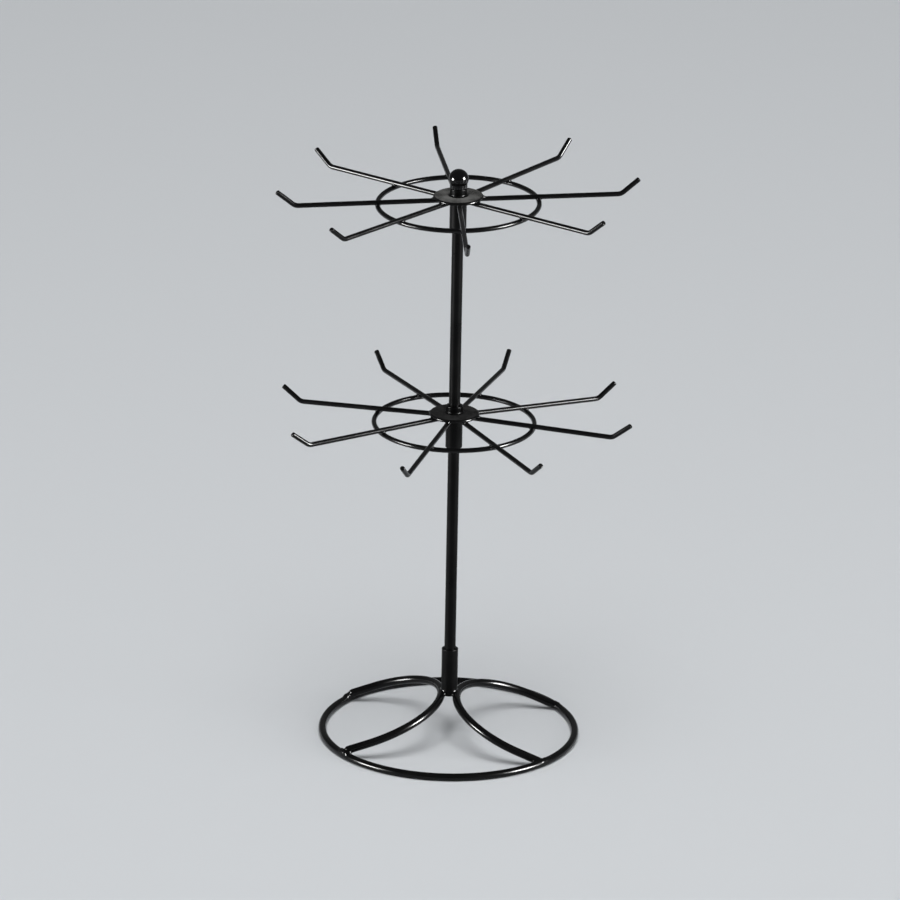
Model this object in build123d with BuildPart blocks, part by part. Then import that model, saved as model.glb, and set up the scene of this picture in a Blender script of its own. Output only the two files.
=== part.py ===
"""Two-tier rotating jewelry stand: a wire base, a pole and two hook tiers that turn. Millimetres, +Z up."""

from build123d import *
from math import hypot, radians, sqrt, tan
import os

os.makedirs("parts", exist_ok=True)

# Wire base: a ring on the table and two U-bent legs, back to back
base_ring_radius = 72.5
base_ring_wire = 4.4
rest_flat_depth = 0.2
leg_wire = 4.6
leg_bend_radius = 43.0
leg_bend_rise = 21.8
leg_socket_weld_sink = 2.5
leg_end_setback = 2.2
leg_end_rounding = 2.6
left_leg_turn = 182.9
left_leg_foot_rise = 2.4
right_leg_turn = -2.4
right_leg_foot_rise = 0.2

# Socket that the pole stands in
socket_diameter = 9.4
socket_length = 28.2
socket_floor = 2.5
socket_below_bend = 0.1
socket_clearance = 0.03
tube_rim_rounding = 0.4

# Pole, the collars that the tiers stand on, and the ball on top
pole_diameter = 6.5
collar_diameter = 7.4
collar_height = 1.2
collar_rounding = 0.2
turning_gap = 0.1
finial_gap = 0.3
ball_diameter = 11.3
ball_centre_rise = 5.0
neck_diameter = 9.9
neck_rounding = 0.8
spigot_diameter = 4.0
spigot_length = 6.5
spigot_end_clearance = 0.5

# Hub of a tier: a disc on a sleeve
plate_diameter = 28.4
plate_thickness = 1.6
plate_rounding = 1.2
sleeve_diameter = 9.6
sleeve_clearance = 0.1
sleeve_above_plate = 4.2
sleeve_below_plate = 19.5

# Arms of a tier and the ring that ties them
arm_wire = 2.8
arm_root_gap = 0.2
arm_reach = 92.0
hook_length = 13.5
hook_angle = 39.5
hook_bend_radius = 5.0
hook_tip_rounding = 0.6
support_ring_radius = 45.5
support_ring_wire = 2.8
arm_plate_weld_sink = 0.2
arm_ring_weld_sink = 0.3

# Each tier: its height at the pole, its turn at rest, the droop of its arms, the lean of the whole tier
# and the turn it rises toward, and how far each hand-welded arm is off its even place
lower_height = 193.8
lower_turn = 31.0
lower_droop = 2.1
lower_lean = 0.0
lower_lean_turn = 0.0
lower_arm_errors = (-0.5, 0.0, -1.0, 0.0, 0.5, 1.5, 1.0, 4.0)
upper_height = 323.2
upper_turn = 10.0
upper_droop = 0.0
upper_lean = 1.1
upper_lean_turn = 29.0
upper_arm_errors = (0.0, 0.5, 1.5, 1.0, 0.5, -4.5, -3.0, 1.0)

# Heights and places that follow from the sizes above
base_ring_height = base_ring_wire / 2 - rest_flat_depth
leg_bend_height = base_ring_height + leg_bend_rise
leg_bend_offset = socket_diameter / 2 + leg_wire / 2 - leg_socket_weld_sink
leg_run = sqrt(base_ring_radius**2 - leg_bend_radius**2) - leg_bend_offset
socket_bottom = leg_bend_height - socket_below_bend
pole_foot = socket_bottom + socket_floor


def leaning_plane(height, lean, lean_turn):
    """Level plane at a height, tipped to rise by the lean toward the given turn."""
    tip_axis = Axis((0, 0, 0), Vector(0, 1, 0).rotate(Axis.Z, lean_turn))
    x_dir = Vector(1, 0, 0).rotate(tip_axis, -lean)
    normal = Vector(0, 0, 1).rotate(tip_axis, -lean)
    return Plane(origin=(0, 0, height), x_dir=x_dir, z_dir=normal)


def upright_plane(tier_plane, turn=0.0, droop=0.0):
    """Plane square to a tier: X runs outward at the turn and falls by the droop, Y is up."""
    level = tier_plane.x_dir.rotate(Axis((0, 0, 0), tier_plane.z_dir), turn)
    sideways = level.cross(tier_plane.z_dir)
    outward = level.rotate(Axis((0, 0, 0), sideways), -droop)
    return Plane(origin=tier_plane.origin, x_dir=outward, z_dir=sideways)


def plate_rise(droop):
    """Underside of a hub disc above the tier's plane: the arms are let into it as far out as its rim."""
    return arm_wire / 2 - plate_diameter / 2 * tan(radians(droop)) - arm_plate_weld_sink


def support_ring_drop(droop):
    """Centre of the tie ring below the tier's plane: it lies under the arms."""
    arm_drop = support_ring_radius * tan(radians(droop))
    return arm_drop + arm_wire / 2 + support_ring_wire / 2 - arm_ring_weld_sink


def sleeve_bottom(height, droop):
    return height + plate_rise(droop) - sleeve_below_plate


def sleeve_top(height, droop):
    return height + plate_rise(droop) + plate_thickness + sleeve_above_plate


finial_foot = sleeve_top(upper_height, upper_droop) + finial_gap


def save(piece, name):
    piece.part.label = name
    export_step(piece.part, f"parts/{name}.step")


# Base ring, ground flat underneath where it rests on the table
with BuildPart() as base_ring:
    with BuildSketch(Plane.XZ):
        with Locations((base_ring_radius, base_ring_height)):
            Circle(base_ring_wire / 2)
    revolve(axis=Axis.Z)
    split(bisect_by=Plane.XY, keep=Keep.TOP)
save(base_ring, "base_ring")


def make_leg(name, turn, foot_rise):
    """U-bent leg wire: its bend is let into the socket's side and its rounded ends into the base ring."""
    leg_fall = leg_bend_rise - foot_rise
    outward = Vector(1, 0, 0).rotate(Axis.Z, turn)
    across = Vector(0, 1, 0).rotate(Axis.Z, turn)
    downhill = outward * leg_run - Vector(0, 0, leg_fall)
    bend_point = outward * leg_bend_offset + Vector(0, 0, leg_bend_height)
    leg_plane = Plane(origin=bend_point, x_dir=downhill, z_dir=downhill.cross(across))
    past_ring = hypot(leg_run, leg_fall) + leg_wire
    slant = hypot(leg_run, leg_fall) / leg_run
    reach = hypot((leg_run + leg_bend_offset) * slant, leg_bend_radius) - leg_end_setback
    pole_point = leg_plane.from_local_coords((-leg_bend_offset * slant, 0, 0))
    with BuildPart() as leg:
        with BuildLine(leg_plane) as route:
            prong = Line((past_ring, -leg_bend_radius), (leg_bend_radius, -leg_bend_radius))
            bend = ThreePointArc(prong @ 1, (0, 0), (leg_bend_radius, leg_bend_radius))
            Line(bend @ 1, (past_ring, leg_bend_radius))
        with BuildSketch(Plane(origin=route.line @ 0, z_dir=route.line % 0)):
            Circle(leg_wire / 2)
        sweep(path=route.line)
        with BuildSketch(Plane(origin=pole_point, x_dir=downhill, z_dir=across)):
            Rectangle(reach, 2 * leg_end_rounding, align=(Align.MIN, Align.CENTER))
            with Locations((reach, 0)):
                Circle(leg_end_rounding)
        revolve(axis=Axis(pole_point, leg_plane.z_dir), mode=Mode.INTERSECT)
        with BuildSketch(Plane.XZ):
            with Locations((base_ring_radius, base_ring_height)):
                Circle(base_ring_wire / 2)
        revolve(axis=Axis.Z, mode=Mode.SUBTRACT)
        with BuildSketch(Plane.XY.offset(socket_bottom)):
            Circle(socket_diameter / 2)
        extrude(amount=socket_length, mode=Mode.SUBTRACT)
    save(leg, name)


make_leg("base_leg_right", right_leg_turn, right_leg_foot_rise)
make_leg("base_leg_left", left_leg_turn, left_leg_foot_rise)

# Socket: a tube with a closed floor
with BuildPart() as base_socket:
    with BuildSketch(Plane.XY.offset(socket_bottom)):
        Circle(socket_diameter / 2)
    extrude(amount=socket_length)
    fillet(base_socket.edges().group_by(Axis.Z)[-1], tube_rim_rounding)
    with BuildSketch(Plane.XY.offset(pole_foot)):
        Circle(pole_diameter / 2 + socket_clearance)
    extrude(amount=socket_length, mode=Mode.SUBTRACT)
save(base_socket, "base_socket")

# Pole with a spigot for the finial
with BuildPart() as pole:
    with BuildSketch(Plane.XY.offset(pole_foot)):
        Circle(pole_diameter / 2)
    extrude(amount=finial_foot - pole_foot)
    with BuildSketch(Plane.XY.offset(finial_foot)):
        Circle(spigot_diameter / 2)
    extrude(amount=spigot_length)
save(pole, "pole")

# Ball finial, seated on the pole's shoulder
ball_radius = ball_diameter / 2
ball_centre = finial_foot + ball_centre_rise
neck_radius = neck_diameter / 2
neck_top = ball_centre - sqrt(ball_radius**2 - neck_radius**2)
with BuildPart() as finial:
    with BuildSketch(Plane.XZ):
        with BuildLine():
            neck = Polyline((0, finial_foot), (neck_radius, finial_foot), (neck_radius, neck_top))
            ball = ThreePointArc(neck @ 1, (ball_radius, ball_centre), (0, ball_centre + ball_radius))
            Line(ball @ 1, neck @ 0)
        make_face()
    revolve(axis=Axis.Z)
    fillet(finial.edges().filter_by(GeomType.CIRCLE).sort_by(Axis.Z)[1], neck_rounding)
    with BuildSketch(Plane.XY.offset(finial_foot)):
        Circle(spigot_diameter / 2)
    extrude(amount=spigot_length + spigot_end_clearance, mode=Mode.SUBTRACT)
save(finial, "finial")


def make_stop_collar(name, height, droop):
    """Collar fixed on the pole that a tier's sleeve stands on."""
    with BuildPart() as collar:
        with BuildSketch(Plane.XY.offset(sleeve_bottom(height, droop) - turning_gap - collar_height)):
            Circle(collar_diameter / 2)
        extrude(amount=collar_height)
        fillet(collar.edges().filter_by(GeomType.CIRCLE), collar_rounding)
        with Locations(collar.faces().sort_by(Axis.Z)[-1]):
            Hole(pole_diameter / 2)
    save(collar, name)


def make_hub_sleeve(name, height, droop):
    with BuildPart() as sleeve:
        with BuildSketch(Plane.XY.offset(sleeve_bottom(height, droop))):
            Circle(sleeve_diameter / 2)
        extrude(amount=sleeve_top(height, droop) - sleeve_bottom(height, droop))
        fillet(sleeve.edges().filter_by(GeomType.CIRCLE), tube_rim_rounding)
        with Locations(sleeve.faces().sort_by(Axis.Z)[-1]):
            Hole(pole_diameter / 2 + sleeve_clearance)
    save(sleeve, name)


def make_hub_plate(name, tier_plane, droop):
    """Disc that leans with its tier, with an upright hole for the sleeve."""
    with BuildPart() as plate:
        with BuildSketch(tier_plane.offset(plate_rise(droop))):
            Circle(plate_diameter / 2)
        extrude(amount=plate_thickness)
        fillet(plate.edges().group_by(Axis.Z)[-1], plate_rounding)
        with BuildSketch(Plane.XY.offset(tier_plane.origin.Z)):
            Circle(sleeve_diameter / 2)
        extrude(amount=plate_diameter, mode=Mode.SUBTRACT)
    save(plate, name)


def make_support_ring(name, tier_plane, droop):
    with BuildPart() as ring:
        with BuildSketch(upright_plane(tier_plane)):
            with Locations((support_ring_radius, -support_ring_drop(droop))):
                Circle(support_ring_wire / 2)
        revolve(axis=Axis(tier_plane.origin, tier_plane.z_dir))
    save(ring, name)


def make_arm(name, tier_plane, droop, turn):
    """Straight wire with an upturned hook, let into the disc above it and the tie ring below it."""
    root = sleeve_diameter / 2 + arm_root_gap
    hook = Vector(hook_length, 0).rotate(Axis.Z, hook_angle)
    with BuildPart() as arm:
        with BuildLine(upright_plane(tier_plane, turn, droop)) as route:
            FilletPolyline(
                (root, 0),
                (arm_reach, 0),
                (arm_reach + hook.X, hook.Y),
                radius=hook_bend_radius,
            )
        with BuildSketch(Plane(origin=route.line @ 0, z_dir=route.line % 0)):
            Circle(arm_wire / 2)
        sweep(path=route.line)
        fillet(arm.faces().filter_by(GeomType.PLANE).sort_by(Axis.Z)[-1].edges(), hook_tip_rounding)
        with BuildSketch(tier_plane.offset(plate_rise(droop))):
            Circle(plate_diameter / 2)
        extrude(amount=plate_thickness, mode=Mode.SUBTRACT)
        with BuildSketch(upright_plane(tier_plane)):
            with Locations((support_ring_radius, -support_ring_drop(droop))):
                Circle(support_ring_wire / 2)
        revolve(axis=Axis(tier_plane.origin, tier_plane.z_dir), mode=Mode.SUBTRACT)
    save(arm, name)


def make_tier(tier, height, tier_turn, droop, tier_plane, arm_errors):
    """One hook tier, with the collar that carries it."""
    make_stop_collar(f"{tier}_stop_collar", height, droop)
    make_hub_sleeve(f"{tier}_hub_sleeve", height, droop)
    make_hub_plate(f"{tier}_hub_plate", tier_plane, droop)
    make_support_ring(f"{tier}_support_ring", tier_plane, droop)
    for index, error in enumerate(arm_errors):
        turn = tier_turn + index * 360 / len(arm_errors) + error
        make_arm(f"{tier}_arm_{index + 1}", tier_plane, droop, turn)


lower_plane = leaning_plane(lower_height, lower_lean, lower_lean_turn)
upper_plane = leaning_plane(upper_height, upper_lean, upper_lean_turn)
make_tier("lower", lower_height, lower_turn, lower_droop, lower_plane, lower_arm_errors)
make_tier("upper", upper_height, upper_turn, upper_droop, upper_plane, upper_arm_errors)
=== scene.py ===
import math
from collections import namedtuple

import bmesh
import bpy
from mathutils import Matrix, Vector


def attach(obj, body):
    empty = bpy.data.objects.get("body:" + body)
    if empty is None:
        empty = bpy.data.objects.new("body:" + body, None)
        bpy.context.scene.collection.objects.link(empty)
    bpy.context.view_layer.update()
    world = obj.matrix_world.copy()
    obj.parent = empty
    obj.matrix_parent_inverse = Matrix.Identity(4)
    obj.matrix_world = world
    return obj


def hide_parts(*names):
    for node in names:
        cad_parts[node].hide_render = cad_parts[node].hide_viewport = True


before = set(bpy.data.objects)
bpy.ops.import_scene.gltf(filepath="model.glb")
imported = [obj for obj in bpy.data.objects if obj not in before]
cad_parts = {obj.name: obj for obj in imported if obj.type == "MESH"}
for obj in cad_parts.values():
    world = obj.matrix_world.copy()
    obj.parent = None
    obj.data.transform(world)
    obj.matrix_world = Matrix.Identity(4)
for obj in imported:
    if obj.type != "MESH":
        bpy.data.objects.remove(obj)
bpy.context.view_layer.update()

scene = bpy.context.scene
scene.view_settings.view_transform = "Standard"

# Camera, at the photograph's place and angle: metres and degrees, with the lens in millimetres
VIEW_TURN = 3.6
CAMERA_DISTANCE = 4.5356
CAMERA_HEIGHT = 1.87705
CAMERA_PITCH = 20.5926
CAMERA_HEADING = 0.0264
CAMERA_ROLL = 1.063
CAMERA_REACH = 100.0
LENS = 341.39
SENSOR = 36.0

# Lamps, room and floor: metres and watts, with directions in the camera's heading
AIM_HEIGHT = 0.18
SIDE_LAMPS = {"left": (-0.945, -0.325, 0.048), "right": (0.907, -0.348, 0.2385)}
SOFTBOX_DISTANCE = 5.0
SOFTBOX_SIZE = 1.7
SOFTBOX_POWERS = {"left": 50.0, "right": 60.0}
REFLECTOR_DISTANCE = 2.2
REFLECTOR_SIZE = 0.8
REFLECTOR_POWERS = {"left": 185.0, "right": 310.0}
TOP_LAMP = (0.0, -0.25, 0.97)
FILL_DISTANCE = 5.0
FILL_SIZE = 3.5
FILL_POWER = 240.0
ROOM_COLOUR = (0.16, 0.163, 0.166)
FLOOR_COLOUR = (0.60, 0.62, 0.64)
FLOOR_HALF = 12.0

# The part's own sizes, in millimetres and degrees, for its welds, the base's wires and the discs' rims
BASE_RING_RADIUS = 72.5
BASE_RING_WIRE = 4.4
BASE_RING_HEIGHT = 2.0
LEG_WIRE = 4.6
LEG_BEND_RADIUS = 43.0
LEG_BEND_HEIGHT = 23.8
LEG_BEND_OFFSET = 4.5
LEG_RUN = math.sqrt(BASE_RING_RADIUS**2 - LEG_BEND_RADIUS**2) - LEG_BEND_OFFSET
LEG_TURNS = {"left": 182.9, "right": -2.4}
LEG_FOOT_RISES = {"left": 2.4, "right": 0.2}
LEG_END_SETBACK = 2.2
SOCKET_DIAMETER = 9.4
SOCKET_BOTTOM = 23.7
PLATE_DIAMETER = 28.4
PLATE_THICKNESS = 1.6
PLATE_WELD_SINK = 0.2
SLEEVE_DIAMETER = 9.6
ARM_WIRE = 2.8
SUPPORT_RING_RADIUS = 45.5
SUPPORT_RING_WIRE = 2.8
RING_WELD_SINK = 0.3
TIER_HEIGHTS = {"lower": 193.8, "upper": 323.2}
TIER_TURNS = {"lower": 31.0, "upper": 10.0}
TIER_DROOPS = {"lower": 2.1, "upper": 0.0}
TIER_LEANS = {"lower": 0.0, "upper": 1.1}
TIER_LEAN_TURNS = {"lower": 0.0, "upper": 29.0}
ARM_ERRORS = {
    "lower": (-0.5, 0.0, -1.0, 0.0, 0.5, 1.5, 1.0, 4.0),
    "upper": (0.0, 0.5, 1.5, 1.0, 0.5, -4.5, -3.0, 1.0),
}

# Height of a disc's underside over an arm's line at the disc's rim
PLATE_RISE = ARM_WIRE / 2 - PLATE_WELD_SINK
# Half the height of an arm's line over the line of the support ring that it crosses
CROSSING_HALF_GAP = (ARM_WIRE + SUPPORT_RING_WIRE) / 4 - RING_WELD_SINK / 2

MILLIMETRE = 0.001
TO_METRES = Matrix.Scale(MILLIMETRE, 4)


def turn_z(degrees):
    return Matrix.Rotation(math.radians(degrees), 4, "Z")


def add_camera():
    data = bpy.data.cameras.new("camera")
    data.lens = LENS
    data.sensor_width = SENSOR
    data.clip_end = CAMERA_REACH
    camera = bpy.data.objects.new("camera", data)
    scene.collection.objects.link(camera)
    place = turn_z(VIEW_TURN) @ Vector((0.0, -CAMERA_DISTANCE, CAMERA_HEIGHT))
    tilt = Matrix.Rotation(math.radians(90.0 - CAMERA_PITCH), 4, "X")
    aim = turn_z(VIEW_TURN + CAMERA_HEADING) @ tilt @ turn_z(CAMERA_ROLL)
    camera.matrix_world = Matrix.Translation(place) @ aim
    scene.camera = camera


def add_softbox(name, direction, distance, size, power):
    """Square lamp that faces the stand."""
    data = bpy.data.lights.new(name, "AREA")
    data.shape = "SQUARE"
    data.size = size
    data.energy = power
    lamp = bpy.data.objects.new(name, data)
    scene.collection.objects.link(lamp)
    centre = Vector((0.0, 0.0, AIM_HEIGHT))
    outward = (turn_z(VIEW_TURN) @ Vector(direction)).normalized()
    lamp.location = centre + outward * distance
    lamp.rotation_euler = outward.to_track_quat("Z", "Y").to_euler()
    lamp.visible_camera = False
    return lamp


def add_lamps():
    """A softbox at each side, with a reflector that only gloss shows, and a broad fill overhead."""
    for side, direction in SIDE_LAMPS.items():
        add_softbox(f"softbox_{side}", direction, SOFTBOX_DISTANCE, SOFTBOX_SIZE, SOFTBOX_POWERS[side])
    for side, direction in SIDE_LAMPS.items():
        power = REFLECTOR_POWERS[side]
        reflector = add_softbox(f"reflector_{side}", direction, REFLECTOR_DISTANCE, REFLECTOR_SIZE, power)
        reflector.visible_diffuse = False
    fill = add_softbox("fill_top", TOP_LAMP, FILL_DISTANCE, FILL_SIZE, FILL_POWER)
    fill.visible_glossy = False


def add_room():
    """Dim, even light from all round."""
    world = bpy.data.worlds.new("room")
    scene.world = world
    world.use_nodes = True
    room = world.node_tree.nodes["Background"]
    room.inputs["Color"].default_value = (*ROOM_COLOUR, 1.0)
    room.inputs["Strength"].default_value = 1.0


def new_material(name):
    """A material, its node tree and its shader."""
    material = bpy.data.materials.new(name)
    material.use_nodes = True
    tree = material.node_tree
    return material, tree, tree.nodes["Principled BSDF"]


def add_floor():
    """Pale floor without gloss."""
    mesh = bpy.data.meshes.new("floor")
    half = FLOOR_HALF
    corners = [(-half, -half, 0.0), (half, -half, 0.0), (half, half, 0.0), (-half, half, 0.0)]
    mesh.from_pydata(corners, [], [(0, 1, 2, 3)])
    floor = bpy.data.objects.new("floor", mesh)
    scene.collection.objects.link(floor)
    material, _, shader = new_material("pale_floor")
    shader.inputs["Base Color"].default_value = (*FLOOR_COLOUR, 1.0)
    shader.inputs["Roughness"].default_value = 1.0
    shader.inputs["Specular IOR Level"].default_value = 0.0
    mesh.materials.append(material)


add_camera()
add_lamps()
add_room()
add_floor()

# Paints: scales and details of their noise, ranges of noise over which a look changes, and depths in metres
BLACK_LOW = (0.0012, 0.0012, 0.0013)
BLACK_HIGH = (0.0030, 0.0030, 0.0031)
CLOUD_SCALE = 70.0
CLOUD_DETAIL = 4.0
CLOUD_ROUGHNESS = 0.6
COLOUR_RANGE = (0.35, 0.70)
GLOSS_RANGE = (0.3, 0.7)
PEEL_DETAIL = 2.0
SPECKLE_SCALE = 1200.0
SPECKLE_DETAIL = 3.0
SPECKLE_DEPTH = 0.00001
PATCH_SCALE = 110.0
PATCH_DETAIL = 2.0
PATCH_RANGE = (0.42, 0.68)
PLATE_ROUGHNESS = 0.8
RIM_COAT_ROUGHNESS = 0.18
RIM_COAT_IOR = 1.27

# Where a disc's dull coat turns into its glossy rim, in millimetres in from the disc's edge
RIM_COAT_START = 1.0
RIM_COAT_END = 0.6


def add_coordinates(tree):
    """The piece's own coordinates."""
    return tree.nodes.new("ShaderNodeTexCoord").outputs["Object"]


def add_noise(tree, place, scale, detail, roughness=0.5):
    noise = tree.nodes.new("ShaderNodeTexNoise")
    noise.inputs["Scale"].default_value = scale
    noise.inputs["Detail"].default_value = detail
    noise.inputs["Roughness"].default_value = roughness
    tree.links.new(place, noise.inputs["Vector"])
    return noise.outputs["Fac"]


def add_drift(tree, value, low, high):
    """Colour that goes from low to high over the noise's colour range."""
    drift = tree.nodes.new("ShaderNodeValToRGB")
    ends = drift.color_ramp.elements
    for index, colour in enumerate((low, high)):
        ends[index].position = COLOUR_RANGE[index]
        ends[index].color = (*colour, 1.0)
    tree.links.new(value, drift.inputs["Fac"])
    return drift.outputs["Color"]


def add_range(tree, value, source, target=(0.0, 1.0)):
    """Value carried over from one range to another."""
    carry = tree.nodes.new("ShaderNodeMapRange")
    carry.inputs["From Min"].default_value = source[0]
    carry.inputs["From Max"].default_value = source[1]
    carry.inputs["To Min"].default_value = target[0]
    carry.inputs["To Max"].default_value = target[1]
    tree.links.new(value, carry.inputs["Value"])
    return carry.outputs["Result"]


def add_mix(tree, share, colour, other):
    """A linked colour, with a share of a plain one over it."""
    mix = tree.nodes.new("ShaderNodeMix")
    mix.data_type = "RGBA"
    mix.inputs["B"].default_value = (*other, 1.0)
    tree.links.new(share, mix.inputs["Factor"])
    tree.links.new(colour, mix.inputs["A"])
    return mix.outputs["Result"]


def add_bump(tree, height, depth, shader):
    bump = tree.nodes.new("ShaderNodeBump")
    bump.inputs["Strength"].default_value = 1.0
    bump.inputs["Distance"].default_value = depth
    tree.links.new(height, bump.inputs["Height"])
    tree.links.new(bump.outputs["Normal"], shader.inputs["Normal"])


def add_radius(tree, place):
    """Distance from the piece's own upright axis."""
    level = tree.nodes.new("ShaderNodeVectorMath")
    level.operation = "MULTIPLY"
    level.inputs[1].default_value = (1.0, 1.0, 0.0)
    tree.links.new(place, level.inputs[0])
    radius = tree.nodes.new("ShaderNodeVectorMath")
    radius.operation = "LENGTH"
    tree.links.new(level.outputs["Vector"], radius.inputs[0])
    return radius.outputs["Value"]


def paint(name, roughness, specular, peel_scale, peel_depth):
    """Black paint with cloudy gloss, a little colour drift and the fine orange peel of a dipped coat."""
    material, tree, shader = new_material(name)
    shader.inputs["Specular IOR Level"].default_value = specular
    place = add_coordinates(tree)
    clouds = add_noise(tree, place, CLOUD_SCALE, CLOUD_DETAIL, CLOUD_ROUGHNESS)
    tree.links.new(add_drift(tree, clouds, BLACK_LOW, BLACK_HIGH), shader.inputs["Base Color"])
    tree.links.new(add_range(tree, clouds, GLOSS_RANGE, roughness), shader.inputs["Roughness"])
    add_bump(tree, add_noise(tree, place, peel_scale, PEEL_DETAIL), peel_depth, shader)
    return material


def plate_paint(name, low, high, bare):
    """Thin dull coat of a hub disc, speckled and patchy with the bare grey, inside a glossy black rim."""
    material, tree, shader = new_material(name)
    shader.inputs["Specular IOR Level"].default_value = 0.0
    shader.inputs["Roughness"].default_value = PLATE_ROUGHNESS
    shader.inputs["Coat Roughness"].default_value = RIM_COAT_ROUGHNESS
    shader.inputs["Coat IOR"].default_value = RIM_COAT_IOR
    place = add_coordinates(tree)
    speckle = add_noise(tree, place, SPECKLE_SCALE, SPECKLE_DETAIL)
    patches = add_range(tree, add_noise(tree, place, PATCH_SCALE, PATCH_DETAIL), PATCH_RANGE)
    patchy = add_mix(tree, patches, add_drift(tree, speckle, low, high), bare)
    edge = PLATE_DIAMETER / 2
    rim_range = (MILLIMETRE * (edge - RIM_COAT_START), MILLIMETRE * (edge - RIM_COAT_END))
    rim = add_range(tree, add_radius(tree, place), rim_range)
    tree.links.new(add_mix(tree, rim, patchy, BLACK_HIGH), shader.inputs["Base Color"])
    tree.links.new(rim, shader.inputs["Coat Weight"])
    add_bump(tree, speckle, SPECKLE_DEPTH, shader)
    return material


wire_paint = paint(
    "black_wire", roughness=(0.17, 0.25), specular=0.18, peel_scale=900.0, peel_depth=0.000003
)
tube_paint = paint(
    "black_tube", roughness=(0.26, 0.34), specular=0.07, peel_scale=700.0, peel_depth=0.000004
)
ball_gloss = paint(
    "black_ball", roughness=(0.10, 0.14), specular=0.24, peel_scale=500.0, peel_depth=0.000001
)
upper_plate_paint = plate_paint(
    "grey_plate", low=(0.018, 0.018, 0.018), high=(0.084, 0.084, 0.081), bare=(0.115, 0.115, 0.112)
)
# Lower disc: the same paint as the upper disc, with its colours made darker as painted shade.
lower_plate_shaded_paint = plate_paint(
    "lower_plate_painted_shade", low=(0.008, 0.008, 0.008), high=(0.024, 0.024, 0.024), bare=(0.030, 0.030, 0.030)
)


def finish_of(node_name):
    """The paint that a CAD node wears."""
    if node_name == "finial":
        return ball_gloss
    if node_name == "upper_hub_plate":
        return upper_plate_paint
    if node_name == "lower_hub_plate":
        return lower_plate_shaded_paint
    if node_name == "pole" or node_name.endswith(("socket", "sleeve", "collar")):
        return tube_paint
    return wire_paint


for node_name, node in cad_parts.items():
    node.data.materials.clear()
    node.data.materials.append(finish_of(node_name))

# Melting of weld metal: the size of its grains, rounds of flow and how deep its ends lie in the pieces
Melting = namedtuple("Melting", "voxel rounds sink")
FINE = Melting(voxel=0.24, rounds=14, sink=0.03)
COARSE = Melting(voxel=0.40, rounds=26, sink=0.14)
FLOW_FACTOR = 0.5

# Meshes of rods and blobs, and the angle in degrees from which an edge stays sharp
ROD_SIDES = 32
BLOB_RINGS = 16
SHARP_ANGLE = 45.0

# Welds of a tier, in millimetres, with insets from the disc's rim
CROSSING_REACH = 2.2
CROSSING_BLOB = (1.7, 1.7, 0.8)
RIM_STUB_IN = 2.6
RIM_STUB_OUT = 2.4
RIM_SLAB = (2.4, 3.4, 0.6)
RIM_SLAB_INSET = 1.7
RIM_BLOB = (0.9, 1.5, 0.6)
RIM_BLOB_INSET = 0.1
SEAM_SIZE = 1.0
SEAM_SINK = 0.1
SEAM_STEPS = 6
SEAM_SIDES = 96

# Wires and welds of the base: millimetres, degrees and shares; a dab has a turn from its foot and a radius
RING_WIRE_STEPS = 44
RING_SIDES = 384
LEG_STRAIGHT_STEPS = 8
LEG_BEND_STEPS = 96
TUBE_SIDES = 40
DOME_STEPS = 10
FOOT_STUB_START = 0.82
FOOT_RING_TURNS = (-6, -3, 0, 3, 6)
FOOT_DABS = ((-2.4, 1.9), (-0.2, 2.2), (2.0, 2.1))
FOOT_DAB_RISE = 0.6
FOOT_DAB_FOLLOW = 0.35
FLOOR_GAP = 0.05
SOCKET_STUB = 8.0
SOCKET_BEND_TURNS = range(-20, 21, 5)
SOCKET_SIDES = 64


def swollen(diameter, melting):
    """Radius that the melting shrinks to that of a rod, less the sink.

    A round of flow shrinks a rod by about an eighth of the grain's square over the rod's radius.
    """
    flow = melting.rounds * melting.voxel**2 / 8
    return math.sqrt((diameter / 2 - melting.sink) ** 2 + 2 * flow)


def add_rod(form, points, radius):
    """Round rod through the points, with domed ends."""
    for start, end in zip(points, points[1:]):
        along = end - start
        turn = along.to_track_quat("Z", "Y").to_matrix().to_4x4()
        place = Matrix.Translation((start + end) / 2) @ turn
        add_cylinder(form, radius, along.length, ROD_SIDES, place)
    for point in points:
        add_blob(form, point, (radius, radius, radius))


def add_cylinder(form, radius, length, sides, place):
    bmesh.ops.create_cone(
        form, cap_ends=True, segments=sides, radius1=radius, radius2=radius, depth=length, matrix=place
    )


def add_blob(form, centre, radii):
    place = Matrix.Translation(centre) @ Matrix.Diagonal((*radii, 1.0))
    bmesh.ops.create_uvsphere(form, u_segments=ROD_SIDES, v_segments=BLOB_RINGS, radius=1.0, matrix=place)


def melt(form, melting):
    """Mesh of the form with its parts flowed together like weld metal."""
    mesh = bpy.data.meshes.new("melt")
    form.to_mesh(mesh)
    form.free()
    thing = bpy.data.objects.new("melt", mesh)
    scene.collection.objects.link(thing)
    remesh = thing.modifiers.new("remesh", "REMESH")
    remesh.mode = "VOXEL"
    remesh.voxel_size = melting.voxel
    smooth = thing.modifiers.new("smooth", "SMOOTH")
    smooth.factor = FLOW_FACTOR
    smooth.iterations = melting.rounds
    flowed = bpy.data.meshes.new_from_object(thing.evaluated_get(bpy.context.evaluated_depsgraph_get()))
    bpy.data.objects.remove(thing)
    bpy.data.meshes.remove(mesh)
    return flowed


def to_mesh(form):
    bmesh.ops.recalc_face_normals(form, faces=form.faces)
    mesh = bpy.data.meshes.new("form")
    form.to_mesh(mesh)
    form.free()
    return mesh


def join_loops(form, loop, following):
    """Faces between two closed loops of as many points each."""
    for index in range(len(loop)):
        after = (index + 1) % len(loop)
        form.faces.new((loop[index], following[index], following[after], loop[after]))


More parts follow.
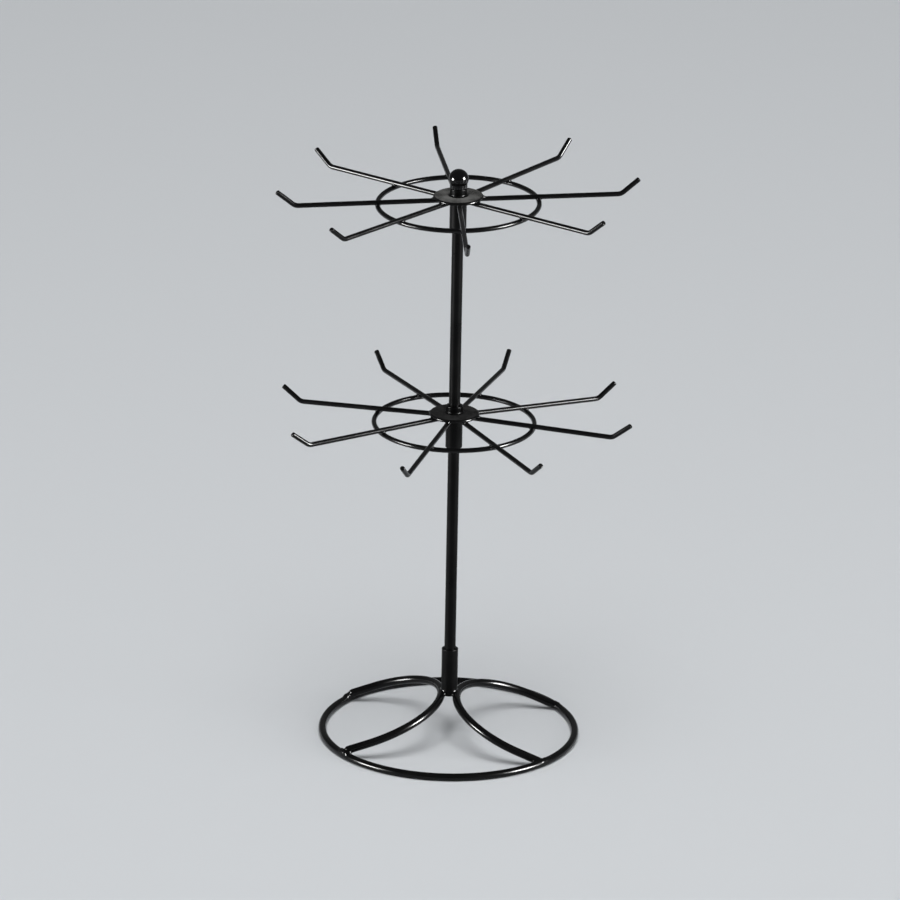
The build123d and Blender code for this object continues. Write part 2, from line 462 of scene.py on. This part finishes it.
def lathe(profile, sides):
    """Mesh of a closed profile of radii and heights, turned about the pole."""
    form = bmesh.new()
    loops = []
    for side in range(sides):
        turn = turn_z(360 * side / sides)
        loops.append([form.verts.new(turn @ Vector((radius, 0.0, height))) for radius, height in profile])
    for loop, following in zip(loops, loops[1:] + loops[:1]):
        join_loops(form, loop, following)
    return to_mesh(form)


def domed_tube(points, radius, normal):
    """Round tube along a flat path, closed by half a ball at each end."""
    directions = [(after - before).normalized() for before, after in zip(points, points[1:])]
    tangents = [directions[0]]
    tangents += [(before + after).normalized() for before, after in zip(directions, directions[1:])]
    tangents.append(directions[-1])
    sections = [(point, tangent, radius) for point, tangent in zip(points, tangents)]
    for step in range(1, DOME_STEPS):
        angle = math.pi / 2 * step / DOME_STEPS
        reach, small = radius * math.sin(angle), radius * math.cos(angle)
        sections.insert(0, (points[0] - tangents[0] * reach, tangents[0], small))
        sections.append((points[-1] + tangents[-1] * reach, tangents[-1], small))
    turns = [2 * math.pi * step / TUBE_SIDES for step in range(TUBE_SIDES)]
    form = bmesh.new()
    loops = []
    for centre, tangent, size in sections:
        side = tangent.cross(normal)
        spokes = [side * math.cos(turn) + normal * math.sin(turn) for turn in turns]
        loops.append([form.verts.new(centre + spoke * size) for spoke in spokes])
    for loop, following in zip(loops, loops[1:]):
        join_loops(form, loop, following)
    tips = (points[0] - tangents[0] * radius, points[-1] + tangents[-1] * radius)
    for loop, tip in zip((loops[0], loops[-1]), tips):
        top = form.verts.new(tip)
        for index in range(TUBE_SIDES):
            form.faces.new((loop[index], loop[(index + 1) % TUBE_SIDES], top))
    return to_mesh(form)


def add_piece(name, forms, body, material=wire_paint):
    """One piece made of meshes, each at its place in millimetres."""
    form = bmesh.new()
    for part, place in forms:
        copy = part.copy()
        copy.transform(TO_METRES @ place)
        form.from_mesh(copy)
        bpy.data.meshes.remove(copy)
    mesh = bpy.data.meshes.new(name)
    form.to_mesh(mesh)
    form.free()
    mesh.shade_smooth()
    mesh.set_sharp_from_angle(angle=math.radians(SHARP_ANGLE))
    mesh.materials.append(material)
    piece = bpy.data.objects.new(name, mesh)
    scene.collection.objects.link(piece)
    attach(piece, body)
    return piece


def tier_place(tier):
    """Matrix of a tier's leaning plane at the pole."""
    tip_axis = turn_z(TIER_LEAN_TURNS[tier]) @ Vector((0.0, 1.0, 0.0))
    lean = Matrix.Rotation(math.radians(-TIER_LEANS[tier]), 4, tip_axis)
    return Matrix.Translation((0.0, 0.0, TIER_HEIGHTS[tier])) @ lean


def arm_turns(tier):
    errors = ARM_ERRORS[tier]
    return [TIER_TURNS[tier] + index * 360 / len(errors) + error for index, error in enumerate(errors)]


def crossing_bead(slope):
    """Weld where an arm lies on its support ring: X along the arm, Y along the ring, origin between them."""
    reach, gap = CROSSING_REACH, CROSSING_HALF_GAP
    fall = reach * slope
    form = bmesh.new()
    arm = [Vector((-reach, 0.0, gap + fall)), Vector((reach, 0.0, gap - fall))]
    ring = [Vector((0.0, -reach, -gap)), Vector((0.0, reach, -gap))]
    add_rod(form, arm, swollen(ARM_WIRE, FINE))
    add_rod(form, ring, swollen(SUPPORT_RING_WIRE, FINE))
    add_blob(form, (0.0, 0.0, 0.0), CROSSING_BLOB)
    return melt(form, FINE)


def rim_bead(slope):
    """Weld where an arm leaves the hub disc's rim: X along the arm, origin on the arm's line at the rim."""
    inner = Vector((-RIM_STUB_IN, 0.0, RIM_STUB_IN * slope))
    outer = Vector((RIM_STUB_OUT, 0.0, -RIM_STUB_OUT * slope))
    slab_place = Matrix.Translation((-RIM_SLAB_INSET, 0.0, PLATE_RISE + RIM_SLAB[2] / 2))
    form = bmesh.new()
    add_rod(form, [inner, outer], swollen(ARM_WIRE, FINE))
    bmesh.ops.create_cube(form, size=1.0, matrix=slab_place @ Matrix.Diagonal((*RIM_SLAB, 1.0)))
    add_blob(form, (-RIM_BLOB_INSET, 0.0, ARM_WIRE / 2), RIM_BLOB)
    return melt(form, FINE)


def seam_bead():
    """Ring of weld with a hollow face, between the sleeve and the disc's top at zero height."""
    wall = SLEEVE_DIAMETER / 2
    profile = [(wall - SEAM_SINK, -SEAM_SINK), (wall + SEAM_SIZE, -SEAM_SINK)]
    for step in range(SEAM_STEPS + 1):
        angle = math.pi / 2 * step / SEAM_STEPS
        profile.append((wall + SEAM_SIZE * (1 - math.sin(angle)), SEAM_SIZE * (1 - math.cos(angle))))
    profile.append((wall - SEAM_SINK, SEAM_SIZE))
    return lathe(profile, SEAM_SIDES)


def add_tier_welds(tier):
    slope = math.tan(math.radians(TIER_DROOPS[tier]))
    place = tier_place(tier)
    turns = arm_turns(tier)
    body = f"{tier}_tier"

    crossing = crossing_bead(slope)
    crossing_drop = SUPPORT_RING_RADIUS * slope + CROSSING_HALF_GAP
    crossing_at = Matrix.Translation((SUPPORT_RING_RADIUS, 0.0, -crossing_drop))
    crossings = [(crossing, place @ turn_z(turn) @ crossing_at) for turn in turns]
    add_piece(f"{tier}_ring_welds", crossings, body)

    rim = rim_bead(slope)
    rim_drop = PLATE_DIAMETER / 2 * slope
    rim_at = Matrix.Translation((PLATE_DIAMETER / 2, 0.0, -rim_drop))
    rims = [(rim, place @ turn_z(turn) @ rim_at) for turn in turns]
    add_piece(f"{tier}_rim_welds", rims, body)

    plate_top = PLATE_RISE - rim_drop + PLATE_THICKNESS
    seam_at = place @ Matrix.Translation((0.0, 0.0, plate_top))
    add_piece(f"{tier}_sleeve_weld", [(seam_bead(), seam_at)], body, tube_paint)


def leg_fall(side):
    """How far a leg comes down from its bend to the crossing with the base ring."""
    return LEG_BEND_HEIGHT - BASE_RING_HEIGHT - LEG_FOOT_RISES[side]


def leg_slant(side):
    """Length of a leg from its bend to the crossing, along its sloping plane."""
    return math.hypot(LEG_RUN, leg_fall(side))


def leg_point(side, share, across):
    """Point of a leg's sloping plane: a share of the way out from the bend's middle, and off to one side."""
    point = Vector((LEG_BEND_OFFSET + share * LEG_RUN, across, LEG_BEND_HEIGHT - share * leg_fall(side)))
    return turn_z(LEG_TURNS[side]) @ point


def bend_route(angle):
    """Way out along the leg and off to one side, at an angle round the bend."""
    return LEG_BEND_RADIUS * (1 - math.cos(angle)), LEG_BEND_RADIUS * math.sin(angle)


def base_ring_point(turn):
    return turn_z(turn) @ Vector((BASE_RING_RADIUS, 0.0, BASE_RING_HEIGHT))


def base_ring_wire():
    """The base ring's round wire, ground flat underneath."""
    flat = math.asin(BASE_RING_HEIGHT / (BASE_RING_WIRE / 2))
    profile = []
    for step in range(RING_WIRE_STEPS + 1):
        angle = -flat + (math.pi + 2 * flat) * step / RING_WIRE_STEPS
        out = BASE_RING_RADIUS + BASE_RING_WIRE / 2 * math.cos(angle)
        profile.append((out, BASE_RING_HEIGHT + BASE_RING_WIRE / 2 * math.sin(angle)))
    return lathe(profile, RING_SIDES)


def leg_wire(side):
    """A leg's round wire, from one foot's weld round the bend to the other foot, with domed ends."""
    slant = leg_slant(side)
    straight = slant - LEG_BEND_RADIUS - LEG_END_SETBACK
    route = []
    for step in range(LEG_STRAIGHT_STEPS):
        route.append((slant - LEG_END_SETBACK - straight * step / LEG_STRAIGHT_STEPS, -LEG_BEND_RADIUS))
    for step in range(LEG_BEND_STEPS + 1):
        route.append(bend_route(math.pi * (step / LEG_BEND_STEPS - 0.5)))
    route += [(out, -across) for out, across in reversed(route[:LEG_STRAIGHT_STEPS])]
    points = [leg_point(side, out / slant, across) for out, across in route]
    normal = (points[0] - points[-1]).cross(points[LEG_BEND_STEPS // 2] - points[0]).normalized()
    return domed_tube(points, LEG_WIRE / 2, normal)


def foot_bead(side, across):
    """Weld that closes a leg's end onto the base ring."""
    crossing = leg_point(side, 1.0, across)
    inner = leg_point(side, FOOT_STUB_START, across)
    end = crossing - (crossing - inner).normalized() * LEG_END_SETBACK
    ring_turn = math.degrees(math.atan2(crossing.y, crossing.x))
    dab_rise = Vector((0.0, 0.0, FOOT_DAB_RISE + FOOT_DAB_FOLLOW * LEG_FOOT_RISES[side]))
    ring = [base_ring_point(ring_turn + step) for step in FOOT_RING_TURNS]
    form = bmesh.new()
    add_rod(form, [inner, end], swollen(LEG_WIRE, COARSE))
    add_rod(form, ring, swollen(BASE_RING_WIRE, COARSE))
    for step, size in FOOT_DABS:
        add_blob(form, base_ring_point(ring_turn + step) + dab_rise, (size, size, size))
    bead = melt(form, COARSE)
    for vertex in bead.vertices:
        vertex.co.z = max(vertex.co.z, FLOOR_GAP)
    return bead


def socket_bead():
    """Weld that joins both legs' bends to the foot of the socket."""
    form = bmesh.new()
    for side in LEG_TURNS:
        slant = leg_slant(side)
        route = [bend_route(math.radians(step)) for step in SOCKET_BEND_TURNS]
        bend = [leg_point(side, out / slant, across) for out, across in route]
        add_rod(form, bend, swollen(LEG_WIRE, COARSE))
    place = Matrix.Translation((0.0, 0.0, SOCKET_BOTTOM + SOCKET_STUB / 2))
    add_cylinder(form, swollen(SOCKET_DIAMETER, COARSE), SOCKET_STUB, SOCKET_SIDES, place)
    return melt(form, COARSE)


def add_base():
    """The base's wires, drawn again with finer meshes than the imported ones, and its welds."""
    ring = add_piece("base_ring_wire", [(base_ring_wire(), Matrix())], "stand")
    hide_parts("base_ring")
    for side in LEG_TURNS:
        leg = add_piece(f"base_{side}_leg_wire", [(leg_wire(side), Matrix())], "stand")
        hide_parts(f"base_leg_{side}")
    feet = []
    for side in LEG_TURNS:
        for across in (-LEG_BEND_RADIUS, LEG_BEND_RADIUS):
            feet.append((foot_bead(side, across), Matrix()))
    add_piece("base_foot_welds", feet, "stand")
    add_piece("base_socket_weld", [(socket_bead(), Matrix())], "stand")


for tier in TIER_HEIGHTS:
    add_tier_welds(tier)
add_base()
